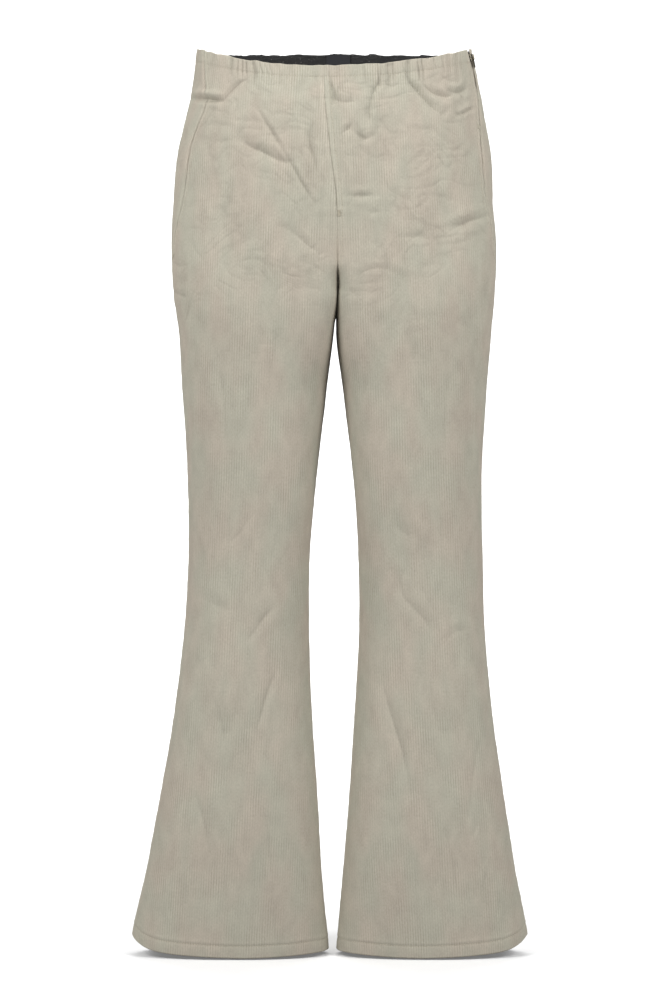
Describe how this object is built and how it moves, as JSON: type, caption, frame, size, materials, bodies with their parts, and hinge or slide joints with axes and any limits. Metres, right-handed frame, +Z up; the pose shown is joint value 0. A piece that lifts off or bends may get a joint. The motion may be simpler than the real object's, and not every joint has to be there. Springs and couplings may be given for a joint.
{
  "type": "corduroy trousers",
  "caption": "Flared pull-on corduroy trousers, filled out as worn, with an elastic band inside the waist and a side zip.",
  "frame": {"origin": "middle of the waist's opening, level with the top of the side seams", "axes": "+Z up from hem to waist, -Y forward (the fronts face -Y), +X towards the wearer's left"},
  "size_m": [0.456, 0.2149, 1.0505],
  "materials": {
    "corduroy": "fine-wale cotton corduroy, soft nap",
    "elastic_band": "black ribbed elastic",
    "label": "plain black woven label",
    "zip_tape": "woven tape in the cloth's colour",
    "zip_metal": "dark antique brass"
  },
  "bodies": {
    "trousers": {"front_right": "corduroy", "front_left": "corduroy", "back_right": "corduroy", "back_left": "corduroy", "waistband": "elastic_band", "back_label": "label", "zip_tape_front": "zip_tape", "zip_tape_back": "zip_tape", "zip_slider": "zip_metal"},
    "zip_pull": {"zip_pull": "zip_metal"}
  },
  "joints": [
    {"name": "zip_pull_hinge", "type": "hinge", "parent": "trousers", "child": "zip_pull", "pos_m": [0.15787, -0.0247, -0.01164], "axis": [-0.3608, -0.9261, -0.11], "range_deg": [0, 160]}
  ]
}
